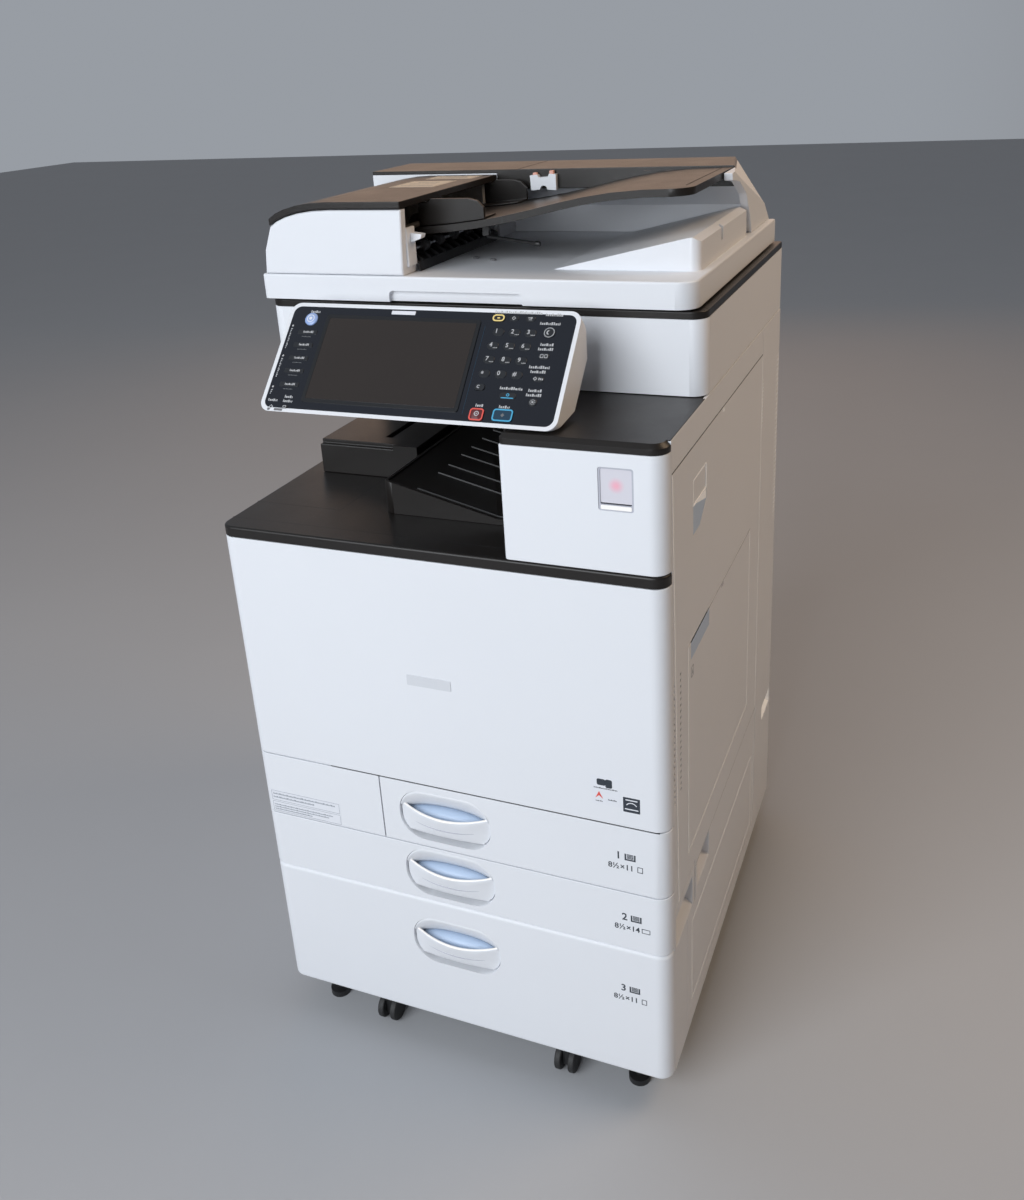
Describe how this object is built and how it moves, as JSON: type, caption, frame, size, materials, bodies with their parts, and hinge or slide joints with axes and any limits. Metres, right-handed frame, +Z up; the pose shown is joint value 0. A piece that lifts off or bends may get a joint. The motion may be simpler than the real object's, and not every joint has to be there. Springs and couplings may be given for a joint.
{
  "type": "photocopier",
  "caption": "Floor-standing colour photocopier with a document feeder, tilting touch panel, paper trays, side doors and a paper bank on casters.",
  "frame": {"origin": "centre of the footprint, on the floor", "axes": "+Z up, +X to the machine's right as its user sees it, -Y out of its front"},
  "size_m": [0.587, 0.685, 1.173],
  "materials": {
    "white_plastic": "fine-textured moulded plastic",
    "dark_plastic": "satin charcoal moulded plastic",
    "steel_sheet": "galvanised sheet",
    "tray_plastic": "grey moulded plastic",
    "glass": "clear float glass",
    "panel_black": "glossy",
    "key_plastic": "glossy",
    "wheel_rubber": "satin",
    "black_plastic": "satin",
    "roller_rubber": "matt"
  },
  "bodies": {
    "chassis": {"bank_right_cover": "white_plastic", "block_cap": "dark_plastic", "exit_housing": "dark_plastic", "exit_slab": "dark_plastic", "exit_tray": "dark_plastic", "exposure_glass": "glass", "front_block": "white_plastic", "fuser_unit": "black_plastic", "imaging_units": "black_plastic", "left_covers": "white_plastic", "levelling_feet": "black_plastic", "main_frame": "steel_sheet", "panel_arm": "white_plastic", "power_inlet": "black_plastic", "rear_caster_brackets": "black_plastic", "rear_covers": "white_plastic", "right_covers": "white_plastic", "scanner_housing": "white_plastic", "scanner_rim": "dark_plastic", "toner_bottles": "black_plastic", "tray_rails": "steel_sheet"},
    "carriage": {"scan_carriage": "black_plastic"},
    "front_door": {"front_door": "white_plastic"},
    "waste_cover": {"waste_cover": "white_plastic"},
    "tray_1": {"tray_front_1": "white_plastic", "tray_grip_1": "white_plastic", "tray_box_1": "tray_plastic"},
    "tray_2": {"tray_front_2": "white_plastic", "tray_grip_2": "white_plastic", "tray_box_2": "tray_plastic"},
    "tray_3": {"tray_front_3": "white_plastic", "tray_grip_3": "white_plastic", "tray_box_3": "tray_plastic"},
    "right_door": {"right_door": "white_plastic"},
    "bypass_tray": {"bypass_tray": "white_plastic"},
    "bank_door": {"bank_door": "white_plastic"},
    "platen": {"platen_cover": "white_plastic", "feeder_body": "white_plastic", "feeder_rear": "white_plastic", "feeder_lid": "dark_plastic"},
    "feed_cover": {"feed_cover": "dark_plastic"},
    "input_tray": {"input_tray": "dark_plastic"},
    "front_guide": {"front_guide": "dark_plastic"},
    "rear_guide": {"rear_guide": "dark_plastic"},
    "feed_roller": {"feed_roller": "roller_rubber"},
    "panel": {"panel_housing": "white_plastic", "panel_face": "panel_black", "touchscreen": "panel_black"},
    "fork_front_left": {"caster_fork_front_left": "black_plastic"},
    "fork_front_right": {"caster_fork_front_right": "black_plastic"},
    "key_clear": {"key_clear": "key_plastic"},
    "key_energy_saver": {"key_energy_saver": "key_plastic"},
    "key_home": {"key_home": "key_plastic"},
    "key_reset": {"key_reset": "key_plastic"},
    "key_start": {"key_start": "key_plastic"},
    "key_stop": {"key_stop": "key_plastic"},
    "wheels_front_left": {"caster_wheels_front_left": "wheel_rubber"},
    "wheels_front_right": {"caster_wheels_front_right": "wheel_rubber"},
    "wheels_rear_left": {"caster_wheels_rear_left": "wheel_rubber"},
    "wheels_rear_right": {"caster_wheels_rear_right": "wheel_rubber"}
  },
  "joints": [
    {"name": "carriage_slide", "type": "slide", "parent": "chassis", "child": "carriage", "axis": [1, 0, 0], "range_m": [0, 0.39]},
    {"name": "front_door_hinge", "type": "hinge", "parent": "chassis", "child": "front_door", "pos_m": [0, -0.3315, 0.4525], "axis": [1, 0, 0], "range_deg": [0, 85]},
    {"name": "waste_cover_hinge", "type": "hinge", "parent": "chassis", "child": "waste_cover", "pos_m": [-0.197, -0.3315, 0.354], "axis": [1, 0, 0], "range_deg": [0, 85]},
    {"name": "tray_1_slide", "type": "slide", "parent": "chassis", "child": "tray_1", "axis": [0, -1, 0], "range_m": [0, 0.28]},
    {"name": "tray_2_slide", "type": "slide", "parent": "chassis", "child": "tray_2", "axis": [0, -1, 0], "range_m": [0, 0.42]},
    {"name": "tray_3_slide", "type": "slide", "parent": "chassis", "child": "tray_3", "axis": [0, -1, 0], "range_m": [0, 0.34]},
    {"name": "right_door_hinge", "type": "hinge", "parent": "chassis", "child": "right_door", "pos_m": [0.2905, 0.1955, 0.6], "axis": [0, 0, 1], "range_deg": [0, 80]},
    {"name": "bypass_hinge", "type": "hinge", "parent": "right_door", "child": "bypass_tray", "pos_m": [0.2895, -0.058, 0.3585], "axis": [0, 1, 0], "range_deg": [0, 65]},
    {"name": "bank_door_hinge", "type": "hinge", "parent": "chassis", "child": "bank_door", "pos_m": [0.2905, 0.1935, 0.18], "axis": [0, 0, 1], "range_deg": [0, 80]},
    {"name": "platen_hinge", "type": "hinge", "parent": "chassis", "child": "platen", "pos_m": [0, 0.322, 1.048], "axis": [-1, 0, 0], "range_deg": [0, 60]},
    {"name": "feed_cover_hinge", "type": "hinge", "parent": "platen", "child": "feed_cover", "pos_m": [-0.271, -0.02, 1.139], "axis": [0, -1, 0], "range_deg": [0, 75]},
    {"name": "input_tray_hinge", "type": "hinge", "parent": "platen", "child": "input_tray", "pos_m": [-0.08, 0.01, 1.15], "axis": [0, -1, 0], "range_deg": [0, 18]},
    {"name": "front_guide_slide", "type": "slide", "parent": "input_tray", "child": "front_guide", "axis": [0, 1, 0], "range_m": [0, 0.06]},
    {"name": "rear_guide_slide", "type": "slide", "parent": "input_tray", "child": "rear_guide", "axis": [0, -1, 0], "range_m": [0, 0.06]},
    {"name": "feed_roller_spin", "type": "hinge", "parent": "platen", "child": "feed_roller", "pos_m": [-0.13, 0, 1.12], "axis": [0, 1, 0], "continuous": true},
    {"name": "panel_tilt", "type": "hinge", "parent": "chassis", "child": "panel", "pos_m": [0, -0.2, 1], "axis": [-1, 0, 0], "range_deg": [0, 30]},
    {"name": "key_clear_press", "type": "slide", "parent": "panel", "child": "key_clear", "axis": [0, 0.7242, -0.6896], "range_m": [0, 0.001], "stiffness_N_per_m": 600, "springref_m": -0.0008},
    {"name": "key_energy_saver_press", "type": "slide", "parent": "panel", "child": "key_energy_saver", "axis": [0, 0.7242, -0.6896], "range_m": [0, 0.001], "stiffness_N_per_m": 600, "springref_m": -0.0008},
    {"name": "key_home_press", "type": "slide", "parent": "panel", "child": "key_home", "axis": [0, 0.7242, -0.6896], "range_m": [0, 0.001], "stiffness_N_per_m": 600, "springref_m": -0.0008},
    {"name": "key_reset_press", "type": "slide", "parent": "panel", "child": "key_reset", "axis": [0, 0.7242, -0.6896], "range_m": [0, 0.001], "stiffness_N_per_m": 600, "springref_m": -0.0008},
    {"name": "key_start_press", "type": "slide", "parent": "panel", "child": "key_start", "axis": [0, 0.7242, -0.6896], "range_m": [0, 0.001], "stiffness_N_per_m": 600, "springref_m": -0.0008},
    {"name": "key_stop_press", "type": "slide", "parent": "panel", "child": "key_stop", "axis": [0, 0.7242, -0.6896], "range_m": [0, 0.001], "stiffness_N_per_m": 600, "springref_m": -0.0008},
    {"name": "swivel_front_left", "type": "hinge", "parent": "chassis", "child": "fork_front_left", "pos_m": [-0.139, -0.298, 0.045], "axis": [0, 0, 1], "continuous": true},
    {"name": "swivel_front_right", "type": "hinge", "parent": "chassis", "child": "fork_front_right", "pos_m": [0.139, -0.298, 0.045], "axis": [0, 0, 1], "continuous": true},
    {"name": "roll_front_left", "type": "hinge", "parent": "fork_front_left", "child": "wheels_front_left", "pos_m": [-0.139, -0.312, 0.019], "axis": [1, 0, 0], "continuous": true},
    {"name": "roll_front_right", "type": "hinge", "parent": "fork_front_right", "child": "wheels_front_right", "pos_m": [0.139, -0.312, 0.019], "axis": [1, 0, 0], "continuous": true},
    {"name": "roll_rear_left", "type": "hinge", "parent": "chassis", "child": "wheels_rear_left", "pos_m": [-0.139, 0.284, 0.019], "axis": [1, 0, 0], "continuous": true},
    {"name": "roll_rear_right", "type": "hinge", "parent": "chassis", "child": "wheels_rear_right", "pos_m": [0.139, 0.284, 0.019], "axis": [1, 0, 0], "continuous": true}
  ],
  "couplings": [
    {"joint": "rear_guide_slide", "follows": "front_guide_slide", "ratio": 1}
  ]
}
